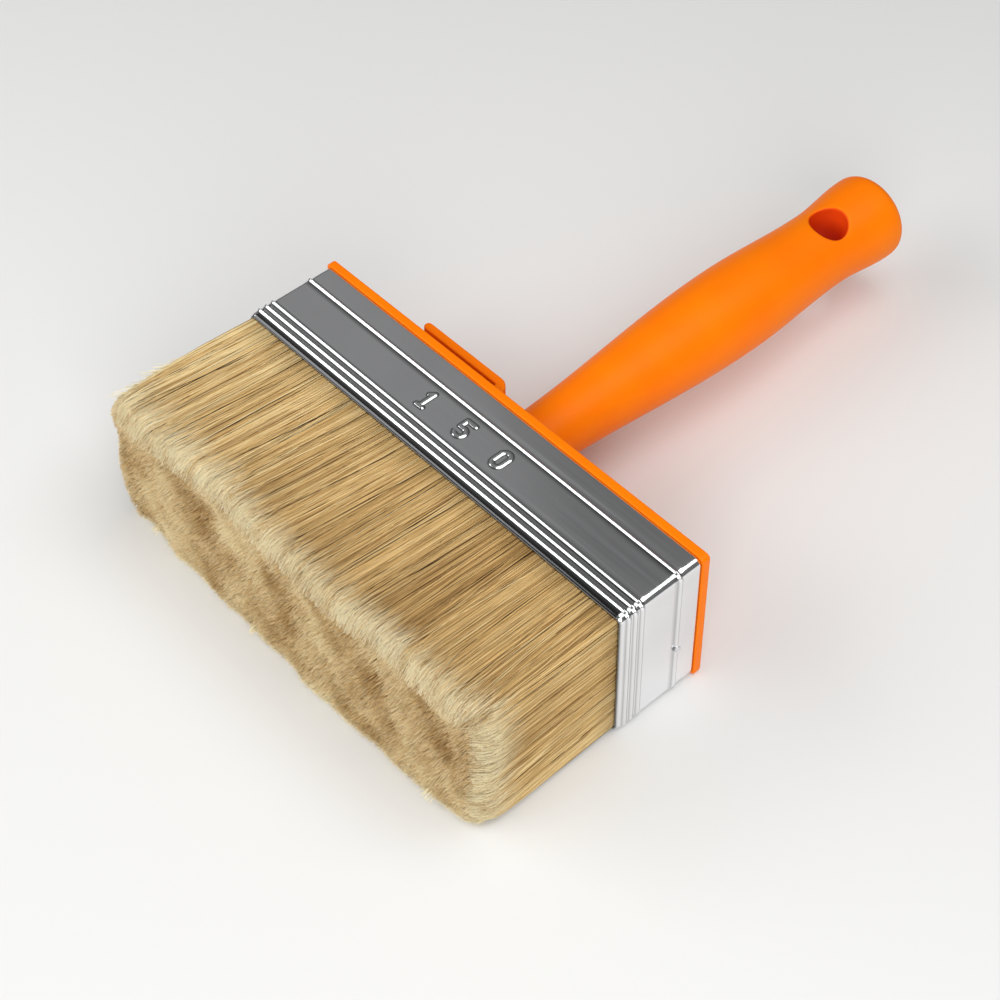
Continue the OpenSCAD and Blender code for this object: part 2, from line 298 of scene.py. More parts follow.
def new_material(name, colour, roughness, metallic=0.0):
    """A Principled material; returns it with its nodes, links and shader."""
    material = bpy.data.materials.new(name)
    material.use_nodes = True
    nodes = material.node_tree.nodes
    shader = nodes["Principled BSDF"]
    shader.inputs["Base Color"].default_value = (*colour, 1)
    shader.inputs["Roughness"].default_value = roughness
    shader.inputs["Metallic"].default_value = metallic
    return material, nodes, material.node_tree.links, shader


def noise(nodes, links, scale, stretch=(1, 1, 1), detail=3.0):
    """Noise in the object's own metres; stretch squeezes it along an axis."""
    place = nodes.new("ShaderNodeTexCoord")
    mapping = nodes.new("ShaderNodeMapping")
    mapping.inputs["Scale"].default_value = stretch
    texture = nodes.new("ShaderNodeTexNoise")
    texture.inputs["Scale"].default_value = scale
    texture.inputs["Detail"].default_value = detail
    links.new(place.outputs["Object"], mapping.inputs["Vector"])
    links.new(mapping.outputs["Vector"], texture.inputs["Vector"])
    return texture.outputs["Fac"]


def spread(nodes, links, value, low, high, from_low=0.3, from_high=0.7):
    """Maps a noise value onto a range."""
    scale = nodes.new("ShaderNodeMapRange")
    for socket, number in (("From Min", from_low), ("From Max", from_high),
                           ("To Min", low), ("To Max", high)):
        scale.inputs[socket].default_value = number
    links.new(value, scale.inputs["Value"])
    return scale.outputs["Result"]


def mixed(nodes, links, value, first, second):
    """Colour between two by a value; each is a plain colour or the output of a node."""
    mix = nodes.new("ShaderNodeMix")
    mix.data_type = "RGBA"
    for socket, colour in ((mix.inputs["A"], first), (mix.inputs["B"], second)):
        if isinstance(colour, tuple):
            socket.default_value = (*colour, 1)
        else:
            links.new(colour, socket)
    links.new(value, mix.inputs["Factor"])
    return mix.outputs["Result"]


def clouded(nodes, links, first, second, scale, stretch=(1, 1, 1), detail=3.0):
    """Colour that wanders between two colours with noise."""
    cloud = spread(nodes, links, noise(nodes, links, scale, stretch, detail), 0, 1)
    return mixed(nodes, links, cloud, first, second)


def add_bump(nodes, links, shader, height, depth):
    """Bump whose full height is depth metres."""
    bump = nodes.new("ShaderNodeBump")
    bump.inputs["Strength"].default_value = 1.0
    bump.inputs["Distance"].default_value = depth
    links.new(height, bump.inputs["Height"])
    links.new(bump.outputs["Normal"], shader.inputs["Normal"])


def axis_distance(nodes, links, point, axis):
    """Distance of a place from the line through a point along a unit axis, in metres."""
    place = nodes.new("ShaderNodeTexCoord").outputs["Object"]
    for operation, other in (("SUBTRACT", point), ("CROSS_PRODUCT", axis)):
        step = nodes.new("ShaderNodeVectorMath")
        step.operation = operation
        step.inputs[1].default_value = other
        links.new(place, step.inputs[0])
        place = step.outputs["Vector"]
    size = nodes.new("ShaderNodeVectorMath")
    size.operation = "LENGTH"
    links.new(place, size.inputs[0])
    return size.outputs["Value"]


def plastic_material():
    """Orange plastic, with a deeper red painted inside the hanging hole for the light that comes
    through it.
    """
    material, nodes, links, shader = new_material("orange_plastic", (1.0, 0.2, 0.0), 0.42)
    cloud = clouded(nodes, links, (1.0, 0.19, 0.0), (1.0, 0.215, 0.0), 60)
    # painted light: a deeper red inside the hanging hole
    painted_hole_red = (0.86, 0.07, 0.004)
    axis = (math.sin(HANDLE_TURN), 0, math.cos(HANDLE_TURN))
    hole = axis_distance(nodes, links, np.array((0, HOLE_Y, MID_Z)) * MM, axis)
    outside = spread(nodes, links, hole, 0, 1, (HOLE_R + 0.1) * MM, (HOLE_R + 0.5) * MM)
    links.new(mixed(nodes, links, outside, painted_hole_red, cloud), shader.inputs["Base Color"])
    grain = noise(nodes, links, 2500, detail=2.0)
    links.new(spread(nodes, links, grain, 0.38, 0.47), shader.inputs["Roughness"])
    add_bump(nodes, links, shader, grain, 0.00004)
    shader.inputs["Specular IOR Level"].default_value = 0.11
    return material


def tinplate_material():
    """Bright tinplate, darker where the mesh's painted shade says so: at the lip, in the grooves and
    round the figures.
    """
    material, nodes, links, shader = new_material("tinplate", (0.88, 0.885, 0.9), 0.2, 1.0)
    cloud = clouded(nodes, links, (0.86, 0.865, 0.88), (0.91, 0.915, 0.93), 45)
    painted_shade_colour = (0.03, 0.03, 0.032)
    # painted shade: the mesh's shade attribute mixes the tin towards near black
    shade = nodes.new("ShaderNodeAttribute")
    shade.attribute_name = "shade"
    links.new(mixed(nodes, links, shade.outputs["Fac"], cloud, painted_shade_colour), shader.inputs["Base Color"])
    rolled = noise(nodes, links, 900, (0.03, 1, 0.03), detail=4.0)
    links.new(spread(nodes, links, rolled, 0.13, 0.2), shader.inputs["Roughness"])
    return material


def steel_material():
    """Plain steel of the tacks and the screw, with uneven roughness."""
    material, nodes, links, shader = new_material("steel", (0.8, 0.8, 0.81), 0.35, 1.0)
    uneven = spread(nodes, links, noise(nodes, links, 1500), 0.3, 0.55)
    links.new(uneven, shader.inputs["Roughness"])
    return material


def resin_material():
    """Set resin, brown and a little cloudy."""
    material, nodes, links, shader = new_material("resin", (0.16, 0.08, 0.03), 0.3)
    cloud = clouded(nodes, links, (0.12, 0.06, 0.02), (0.2, 0.11, 0.04), 150)
    links.new(cloud, shader.inputs["Base Color"])
    return material


def wood_material():
    """Raw wood with its grain along X."""
    material, nodes, links, shader = new_material("filler_wood", (0.5, 0.33, 0.17), 0.65)
    grain = spread(nodes, links, noise(nodes, links, 800, (0.05, 1, 1), detail=5.0), 0, 1)
    links.new(mixed(nodes, links, grain, (0.4, 0.25, 0.12), (0.58, 0.4, 0.22)),
              shader.inputs["Base Color"])
    add_bump(nodes, links, shader, grain, 0.0001)
    return material


def bristle_material():
    """Colour from the strand's map: u is its tone, and it grows paler as v nears 1."""
    material, nodes, links, shader = new_material("bristle", (0.75, 0.6, 0.3), 0.48)
    uv = nodes.new("ShaderNodeUVMap")
    uv.uv_map = "OFBake"
    parts = nodes.new("ShaderNodeSeparateXYZ")
    links.new(uv.outputs["UV"], parts.inputs["Vector"])
    tone = nodes.new("ShaderNodeValToRGB")
    stops = [(0.0, (0.04, 0.022, 0.008)), (0.11, (0.09, 0.045, 0.012)),
             (0.17, (0.42, 0.245, 0.085)), (0.5, (0.74, 0.5, 0.205)), (1.0, (0.97, 0.825, 0.48))]
    for i, (place, colour) in enumerate(stops):
        stop = tone.color_ramp.elements[i] if i < 2 else tone.color_ramp.elements.new(place)
        stop.position = place
        stop.color = (*colour, 1)
    links.new(parts.outputs["X"], tone.inputs["Fac"])
    paleness = spread(nodes, links, parts.outputs["Y"], 0.0, 1.0, 0.82, 1.0)
    flagged = (1.0, 0.905, 0.62)
    colour = mixed(nodes, links, paleness, tone.outputs["Color"], flagged)
    links.new(colour, shader.inputs["Base Color"])
    shader.inputs["Specular IOR Level"].default_value = 0.18
    return material


def core_material():
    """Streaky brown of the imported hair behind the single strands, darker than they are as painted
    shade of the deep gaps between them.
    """
    material, nodes, links, shader = new_material("bristle_core", (0.2, 0.13, 0.06), 0.8)
    streaks = clouded(nodes, links, (0.3, 0.19, 0.07), (0.6, 0.41, 0.17), 1200, (1, 0.03, 1), 4.0)
    links.new(streaks, shader.inputs["Base Color"])
    return material


# ---- ferrule ----

def bead_height(past, tail):
    """Height of a bead at a distance past its crest; a groove behind it eases back over tail."""
    rise = BEAD_H * (1 + np.cos(np.pi * np.clip(past / BEAD_RISE, -1, 0))) / 2
    fall = (BEAD_H + GROOVE) * (1 + np.cos(np.pi * np.clip(past / BEAD_FALL, 0, 1))) / 2 - GROOVE
    back = -GROOVE * (1 - np.clip((past - BEAD_FALL) / tail, 0, 1)) ** 2
    return np.select([past < 0, past < BEAD_FALL], [rise, fall], back)


def sheet_profile():
    """Stations along Y of the sheet's outer face, as places and heights."""
    margin = 0.8
    least_step = 0.03
    ys = [FRONT_Y + LIP_LEN * t for t in np.linspace(0, 1, 7)]
    for crest, tail in zip(BEAD_YS, BEAD_TAILS):
        ys += list(crest + BEAD_RISE * np.linspace(-1, 0, 11))
        ys += list(crest + BEAD_FALL * np.linspace(0.1, 1, 9))
        ys += list(crest + BEAD_FALL + tail * np.linspace(0.1, 1, 9))
    ys += list(np.linspace(FIGURE_Y - FIGURE_H / 2 - margin, FIGURE_Y + FIGURE_H / 2 + margin, 54))
    ys += list(np.linspace(BEAD_YS[-1] + BEAD_W, BACK_Y, 8))
    ys = np.unique(np.round(ys, 4))
    ys = ys[np.concatenate([[True], np.diff(ys) > least_step])]
    turned = np.clip((ys - FRONT_Y) / LIP_LEN, 0, 1)
    heights = -LIP_IN * (1 + np.cos(np.pi * turned)) / 2
    for crest, tail in zip(BEAD_YS, BEAD_TAILS):
        heights += bead_height(ys - crest, tail)
    return ys, heights


def ring(half_u, half_v, r, top_us, low_us, side_vs, steps):
    """Points once round a rounded rectangle, with their outward normals.

    The flat sides have points at the places given, and each corner has steps.
    """
    u0 = half_u - r
    v0 = half_v - r
    points = []
    normals = []

    def corner(cu, cv, start):
        """Round one corner, clockwise from an angle in degrees."""
        for i in range(1, steps):
            a = math.radians(start - 90 * i / steps)
            normals.append((math.cos(a), math.sin(a)))
            points.append((cu + r * math.cos(a), cv + r * math.sin(a)))

    def side(us, vs, normal):
        """Along one flat side."""
        for u, v in zip(us, vs):
            points.append((u, v))
            normals.append(normal)

    side(top_us, np.full(len(top_us), half_v), (0, 1))
    corner(u0, v0, 90)
    side(np.full(len(side_vs), half_u), -side_vs, (1, 0))
    corner(u0, -v0, 0)
    side(-low_us, np.full(len(low_us), -half_v), (0, -1))
    corner(-u0, -v0, -90)
    side(np.full(len(side_vs), -half_u), side_vs, (-1, 0))
    corner(-u0, v0, 180)
    return np.array(points), np.array(normals)


def segment_distance(x, y, a, b):
    """Distance to the segment from a to b."""
    ax, ay = a
    dx, dy = b[0] - ax, b[1] - ay
    t = np.clip(((x - ax) * dx + (y - ay) * dy) / (dx * dx + dy * dy), 0, 1)
    return np.hypot(x - ax - t * dx, y - ay - t * dy)


def figures_distance(x, y):
    """Distance to the middle lines of the figures 1, 5 and 0; y is from their middle."""
    r = BOWL_R - STROKE_W / 2
    low = -FIGURE_H / 2 + STROKE_W / 2
    high = -low
    one = x + FIGURE_PITCH
    strokes = [segment_distance(one, y, (0, low), (0, high)),
               segment_distance(one, y, (-STROKE_W, low), (STROKE_W, low)),
               segment_distance(one, y, (-STROKE_W, high - STROKE_W), (0, high))]
    bowl_y = low + r
    stem_x = -r
    gap = (x < 0) & (y > bowl_y - 0.3 * r) & (y < bowl_y + r)
    bowl = np.abs(np.hypot(x, y - bowl_y) - r)
    strokes += [segment_distance(x, y, (stem_x, high), (r, high)),
                segment_distance(x, y, (stem_x, high), (stem_x, bowl_y + r)),
                segment_distance(x, y, (stem_x, bowl_y + r), (0, bowl_y + r)),
                np.where(gap, FIGURE_H, bowl)]
    nought = x - FIGURE_PITCH
    strokes.append(np.abs(segment_distance(nought, y, (0, bowl_y), (0, -bowl_y)) - r))
    return np.minimum.reduce(strokes)


def embossing(x, y):
    """Height of the embossed figures on the upper face, with soft pressed edges."""
    soft = 0.42
    t = np.clip((STROKE_W / 2 + soft - figures_distance(x, y - FIGURE_Y)) / (2 * soft), 0, 1)
    return FIGURE_RISE * t * t * (3 - 2 * t)


def painted_shade_line(distance, width):
    """Painted shade about a line, which fades away over about its width."""
    return np.exp(-(distance / width) ** 2)


def painted_sheet_shade(x, ys, broad):
    """Painted shade on the sheet: at its rim, the broad sides' lip, in the grooves and round the
    figures.

    broad is 1 on the upper side, -1 on the lower one and 0 on the ends and corners.
    """
    # painted shade and painted dark reflection: a dark rim and lip, dark lines at the beads' feet and
    # front slopes, dark outlines round the figures
    past = ys - FRONT_Y
    lip_end = 1.6
    lip_fade = 0.4
    darkest = 0.92
    rim = painted_shade_line(past, 0.4)
    lip = np.where(past < LIP_LEN, 1.0, 0.66) * (1 - np.clip((past - lip_end) / lip_fade, 0, 1))
    front = back = bead = 0
    for crest, dimming in zip(BEAD_YS, BEAD_PAINTED_SHADE):
        front = front + painted_shade_line(ys - crest + BEAD_RISE, 0.26)
        back = back + painted_shade_line(ys - crest - BEAD_FALL, 0.16)
        bead = bead + dimming * painted_shade_line(ys - crest + BEAD_RISE / 2, 0.5)
    foot = figures_distance(x, ys - FIGURE_Y) - STROKE_W / 2 - 0.3
    outline = 0.8 * painted_shade_line(foot, 0.2)
    on_broad = np.maximum(rim, lip) + 0.75 * front + 0.35 * back + bead
    on_narrow = rim + 0.4 * front + 0.75 * back
    shade = np.where(broad != 0, on_broad, on_narrow) + np.where(broad > 0, outline, 0)
    return np.clip(shade, 0, darkest)


def make_ferrule(material):
    """The thin sheet as one closed band: its outer face, then its plainer inner face.

    The grid is fine only round the figures, and coarse on the rest and on the lower side.
    """
    fine = 0.18
    coarse = 1.6
    end_stations = 24
    corner_steps = 9
    inner_every = 8
    dents = 0.035
    figure_zone = FIGURE_PITCH + 3.2
    flat_u = HALF_W - CORNER_R
    flat_v = HALF_T - CORNER_R
    top_us = grid_lines(-flat_u, (-figure_zone, coarse), (figure_zone, fine), (flat_u, coarse))
    low_us = grid_lines(-flat_u, (flat_u, coarse))
    vs = np.linspace(-flat_v, flat_v, end_stations)
    base, out = ring(HALF_W, HALF_T, CORNER_R, top_us, low_us, vs, corner_steps)
    ys, heights = sheet_profile()
    n, m = len(base), len(ys)
    x = base[:, :1]
    z = base[:, 1:]
    out_x = out[:, :1]
    out_z = out[:, 1:]
    corner = 4 * np.abs(out_x * out_z) ** 1.5
    wave = dents * np.sin(x / 11 + ys / 9) * np.sin(z / 8 + ys / 13 + 1)
    h = heights + wave * (1 - np.clip(corner, 0, 1))
    h += np.where(out_z > 0.99, embossing(x, ys), 0)

    def face(stations, height):
        """Points of one face of the sheet, at a height over its plain sides."""
        return np.stack([x + out_x * height, np.broadcast_to(stations, height.shape),
                         z + out_z * height + MID_Z], 2)

    inner_at = np.unique(np.concatenate([np.arange(0, m, inner_every), [1, 3, m - 1]]))[::-1]
    points = np.concatenate([face(ys, h), face(ys[inner_at], h[:, inner_at] - SHEET_T)], 1)
    points[..., 2] = np.maximum(points[..., 2], 0)
    k = points.shape[1]
    i = np.arange(n)[:, None]
    j = np.arange(k)[None, :]
    nxt = (i + 1) % n
    jn = (j + 1) % k
    quads = np.stack([i * k + j, nxt * k + j, nxt * k + jn, i * k + jn], 2).reshape(-1, 4)
    piece = make_piece("ferrule_band", points.reshape(-1, 3), [quads])
    # painted shade of the sheet, kept on the mesh as a point attribute
    shade = np.zeros((n, k))
    shade[:, :m] = painted_sheet_shade(x, ys, np.round(out_z * (np.abs(out_z) > 0.99)))
    layer = piece.data.attributes.new("shade", "FLOAT", "POINT")
    layer.data.foreach_set("value", shade.ravel().astype(np.float32))
    finish_piece(piece, material, "tinplate", "ferrule")


# ---- block ----

def hook_flat(x, y):
    """Distance to the hook's outline: a web that bends into a tongue with a round end."""
    web = rounded_rect(x + HOOK_X + WEB_T / 2, y - (BACK_Y + HOOK_BACK) / 2, WEB_T / 2,
                       (HOOK_BACK - BACK_Y) / 2, 0.1)
    half = (SLOT_LEN + WEB_T + TONGUE_T) / 2
    tongue = rounded_rect(x + HOOK_X - TONGUE_T + half, y - HOOK_BACK + TONGUE_T / 2, half,
                          TONGUE_T / 2, TONGUE_T / 2)
    bend = extruded(x + HOOK_X, y - HOOK_BACK, HOOK_R)
    return np.maximum(smooth_min(web, tongue, HOOK_FILLET), bend)


def block_field(x, y, z):
    """Signed distance to the block: flange, hook, collar and the ribbed, hollow plug."""
    z = z - MID_Z
    rho = np.hypot(x, z)
    edge_z = HALF_T + FLANGE_PROUD
    flange = extruded(rounded_rect(x, z, HALF_W + FLANGE_PROUD, edge_z, FLANGE_R),
                      span(y, BACK_Y, FLANGE_BACK), FLANGE_EDGE)
    collar = extruded(rho - COLLAR_R, span(y, BACK_Y, ROOT_Y), COLLAR_EDGE)
    tall = edge_z - TONGUE_INSET
    hook = extruded(hook_flat(x, y), span(z, -tall, tall), HOOK_EDGE)
    hook = smooth_max(hook, -np.maximum(rho - ROOT_R - HOOK_GAP, ROOT_Y - y), 0.2)
    fill_w = RESIN_HIGH[0]
    fill_t = RESIN_HIGH[2] - MID_Z
    fill_r = CORNER_R - SHEET_T - FIT_GAP
    plug = extruded(rounded_rect(x, z, fill_w, fill_t, fill_r),
                    span(y, RESIN_HIGH[1], BACK_Y + 1), 0.1)
    core = extruded(rounded_rect(x, z, fill_w - PLUG_WALL, fill_t - PLUG_WALL, fill_r / 2),
                    span(y, RESIN_HIGH[1] - PLUG_OPEN, BACK_Y), 0.4)
    ribs = np.minimum.reduce([span(x, c - RIB_T / 2, c + RIB_T / 2) for c in (-RIB_X, 0, RIB_X)]
                             + [span(z, -RIB_T / 2, RIB_T / 2)])
    socket = extruded(rho - SPIGOT_R - SOCKET_WALL, span(y, SCREW_Y, BACK_Y + 1), 0.2)
    inner = smooth_min(np.maximum(ribs, span(y, SCREW_Y, BACK_Y + 1)), socket, 0.5)
    shell = np.maximum(plug, -np.maximum(core, -inner))
    body = smooth_min(smooth_min(flange, hook, HOOK_FILLET), collar, COLLAR_FILLET)
    body = np.minimum(body, shell)
    bore = np.maximum(rho - SPIGOT_R - FIT_GAP, span(y, SOCKET_Y, ROOT_Y + 5))
    screw = np.maximum(rho - SCREW_R - SCREW_GAP, span(y, SCREW_Y - 5, SOCKET_Y + 1))
    return np.maximum(body, -np.minimum(bore, screw))


def make_block(material):
    """The block's moulding, on a grid that is fine at its rims, ribs, collar and hook."""
    # steps of the grid, then the widths of two zones
    rim = 0.32
    rib = 0.4
    hook = 0.3
    plain = 1.5
    rim_w = 5.4
    rib_w = 1.8
    edge_x = HALF_W + FLANGE_PROUD
    edge_z = HALF_T + FLANGE_PROUD
    tongue_end = HOOK_X + WEB_T + SLOT_LEN
    inset_z = edge_z - TONGUE_INSET
    xs = grid_lines(-edge_x - 1, (-edge_x + rim_w, rim), (-tongue_end - 1.2, plain),
                    (-tongue_end + 1.5, hook), (-RIB_X - rib_w, 0.5), (-RIB_X + rib_w, rib),
                    (-HOOK_X - WEB_T - 2, 1.2), (-HOOK_X + 1.3, hook), (COLLAR_R + 1.2, 0.42),
                    (RIB_X - rib_w, plain), (RIB_X + rib_w, rib), (edge_x - rim_w, plain),
                    (edge_x + 1, rim))
    plug_front = RESIN_HIGH[1]
    ys = grid_lines(plug_front - 1, (plug_front + 1, 0.35), (BACK_Y - 1, 0.8),
                    (HOOK_BACK + 1, 0.28))
    side = grid_lines(rib_w, (12, 0.5), (inset_z - 1.5, 0.9), (inset_z + 1.2, hook),
                      (edge_z + 1, rim))
    middle = grid_lines(-rib_w, (rib_w, rib))
    zs = MID_Z + np.concatenate([-side[::-1], middle[1:-1], side])
    piece = solid_from("block_moulding", block_field, (xs, ys, zs))
    finish_piece(piece, material, "orange_plastic", "block")


# ---- handle ----

def eased(a, b, t):
    """Runs smoothly from a to b as t runs from 0 to 1."""
    return a + (b - a) * (1 - np.cos(np.pi * np.clip(t, 0, 1))) / 2


def grip_radius(along):
    """Radius of the grip at a distance from its root, before its rounded end."""
    end_at = END_Y - ROOT_Y - END_ROUND
    first = eased(ROOT_R, GRIP_R, along / GRIP_AT)
    second = eased(0, NECK_R - GRIP_R, (along - GRIP_AT) / (NECK_AT - GRIP_AT))
    third = eased(0, END_R - NECK_R, (along - NECK_AT) / (end_at - NECK_AT))
    return first + second + third


def handle_field(x, y, z):
    """Signed distance to the handle: grip, spigot, hanging hole and screw bore."""
    z = z - MID_Z
    rho = np.hypot(x, z)
    along = y - ROOT_Y
    radius = grip_radius(along)
    past = np.maximum(along - (END_Y - ROOT_Y - END_ROUND), 0) / END_ROUND
    grip = radius * (((rho / radius) ** 3 + past ** 3) ** (1 / 3) - 1)
    grip = smooth_max(grip, -along, 0.5)
    spigot = extruded(rho - SPIGOT_R, span(y, SOCKET_Y + FIT_GAP, ROOT_Y + 3), 0.3)
    body = np.minimum(grip, spigot)
    across = x * math.cos(HANDLE_TURN) - z * math.sin(HANDLE_TURN)
    hole = np.hypot(across, y - HOLE_Y) - HOLE_R
    body = smooth_max(body, -hole, HOLE_EDGE)
    bore = np.maximum(rho - SCREW_R - SCREW_GAP, y - (SCREW_Y + SCREW_LEN + 1))
    return np.maximum(body, -bore)


def make_handle(material):
    """The handle's moulding, on a grid that is fine at its root, its bore and its hole."""
    across = END_R + 0.9
    bore = SCREW_R + 0.8
    hole_zone = 9
    side = grid_lines(-across, (-bore, 0.5), (bore, 0.35), (across, 0.5))
    ys = grid_lines(SOCKET_Y - 1, (ROOT_Y + 2, 0.3), (ROOT_Y + 18, 0.8), (HOLE_Y - hole_zone, 1.2),
                    (HOLE_Y + hole_zone, 0.42), (END_Y + 1, 0.5))
    piece = solid_from("handle_moulding", handle_field, (side, ys, side + MID_Z))
    finish_piece(piece, material, "orange_plastic", "handle")


# ---- bristle head ----

# the head at the mouth, how it swells, and the radii of its rims and corners at the tips
MOUTH_W = ROW_HIGH[0]
MOUTH_T = HALF_T - SHEET_T - LIP_IN - FIT_GAP
SWELL_UP = 1.0
SWELL_OUT = 0.8
TIP_LEFT_R = 5.5
TIP_RIGHT_R = 9.0
TIP_TOP_R = 5.0
TIP_LOW_R = 3.0
TIP_CORNER_R = 8.0
LOW_CORNER_R = 6.0
MOUTH_CORNER_R = 1.5
DROP_RATE = 1.4
CORE_DEPTH = 1.9
CORE_BACK = 7.5
CORE_EDGE = 3.0
HOLLOW = 1.6
HOLLOW_Z = 33.0
HOLLOW_H = 8.0
LEFT_SWELL = 1.6
LEFT_BULGE = 1.6
BULGE_FROM = 40.0
BULGE_RUN = 35.0
OUT_LEN = FRONT_Y - TIP_Y
FLOOR_CLEAR = 0.15

# how far the tips fall back across the head: the upper ones in waves, the lower ones in notches
WAVE_X = (-75, -60, -45, -25, 0, 25, 45, 65, 75)
WAVE_BACK = (0.9, 0.8, 1.4, 2.6, 0.9, 0.9, 2.6, 2.6, 2.2)
NOTCH_X = (-75, -66, -57, -52, -45, -30, -15, 0, 45, 60, 75)
NOTCH_BACK = (1.6, 3.6, 2.4, 0.6, 0.6, 1.5, 0.7, 0, 0, 1.8, 1.9)

# the long strands: stations along them, then lean, lightness and pale roots across the head
STRAND_STEPS = (-0.05, 0.16, 0.38, 0.6, 0.77, 0.86, 0.92, 0.965, 1.0)
SWAY_X = (-75, -55, -20, 10, 40, 60, 75)
SWAY = (0, -2, -4, -3, -1, 0.8, 0.8)
LIGHT_X = (-75, -40, -5, 40, 75)
LIGHT = (0.12, 0.04, -0.1, -0.11, -0.08)
ROOT_X = (-75, -45, -10, 45, 75)
ROOT_PALE = (0.4, 0.3, 0, 0, 0.25)
CLUMP_W = 0.5
STRAY_SHARE = 0.04
FRIZZ_FROM = 0.8
FRIZZ_RUN = 0.2

# tones: the darkest and lightest of the fair strands, and the dark ones
FAIR_LOW = 0.17
FAIR_HIGH = 0.97
DARK_TONE = 0.06


def lumps(x, z, sizes, seed):
    """Smooth noise about 0 over the plane, from waves of the given lengths in millimetres."""
    rng = np.random.default_rng(seed)
    total = np.zeros(np.broadcast(x, z).shape)
    waves = 4
    for size in np.repeat(sizes, waves):
        turn = rng.uniform(0, 2 * math.pi)
        phase = rng.uniform(0, 2 * math.pi)
        stretch = rng.uniform(0.8, 1.25)
        step = 2 * math.pi / (size * stretch)
        total += np.sin(step * (x * math.cos(turn) + z * math.sin(turn)) + phase)
    return total / math.sqrt(waves * len(sizes))


def section(t):
    """Half width, half height and middle height of the head, from the mouth to the tips."""
    high = MID_Z + MOUTH_T + SWELL_UP * t
    low = (MID_Z - MOUTH_T) * (1 - np.minimum(1, t * DROP_RATE))
    return MOUTH_W + SWELL_OUT * np.maximum(t, 0) ** 2, (high - low) / 2, (high + low) / 2


def corner_radius(t, upper):
    """Radius of the head's long corners, which open towards the tips."""
    end = np.where(upper, TIP_CORNER_R, LOW_CORNER_R)
    return MOUTH_CORNER_R + (end - MOUTH_CORNER_R) * np.maximum(t, 0) ** 3


def rounding(edge, r):
    """How far a rounded rim of radius r falls back at a distance from its edge."""
    inside = np.clip(edge, 0, r)
    return r - np.sqrt(np.maximum(r * r - (r - inside) ** 2, 0))


def swollen(x, y, z):
    """Lets the head's left end bulge towards the tips, most at half height."""
    out = np.clip((FRONT_Y - y) / OUT_LEN, 0, 1)
    _, half_t, mid = section(out)
    end = np.clip((-x - BULGE_FROM) / BULGE_RUN, 0, 1) ** 2
    level = np.clip(1 - ((z - mid) / half_t) ** 2, 0, 1)
    side = LEFT_SWELL * (1 - (1 - out) ** 2) + LEFT_BULGE * level * out ** 2
    return np.stack([x - side * end, y - LEFT_BULGE * level * end * out ** 8, z], 2)


def wrapped(along, half_along, half_out, r, sink):
    """Bends places on a side round the long corners of radius r, sunk below the surface."""
    over = np.maximum(np.abs(along) - half_along + r, 0)
    far = np.hypot(over, r)
    straight = np.minimum(np.abs(along), half_along - r)
    bent = np.sign(along) * (straight + over * (r - sink) / far)
    return bent, half_out - r + r * (r - sink) / far


def tip_place(x, z):
    """Y of the bristle tips over the end of the head: wavy, a little lumpy, with rounded rims."""
    half_w, half_t, mid = section(1.0)
    up = np.clip(z / (mid + half_t), 0, 1)
    wave = np.interp(x, WAVE_X, WAVE_BACK)
    notch = np.interp(x, NOTCH_X, NOTCH_BACK)
    uneven = 1 + 0.4 * lumps(x, 0 * x, (47, 31, 19), 8)
    hollow = HOLLOW * np.exp(-((z - HOLLOW_Z) / HOLLOW_H) ** 2) * uneven
    lumpy = 0.35 * lumps(x, z, (33, 21, 14), 3)
    place = TIP_Y + 0.9 + wave * up + notch * (1 - up) ** 2 + lumpy + hollow
    for edge, r in ((half_w + x, TIP_LEFT_R), (half_w - x, TIP_RIGHT_R),
                    (mid + half_t - z, TIP_TOP_R), (z - (mid - half_t), TIP_LOW_R)):
        place += rounding(edge, r)
    return place


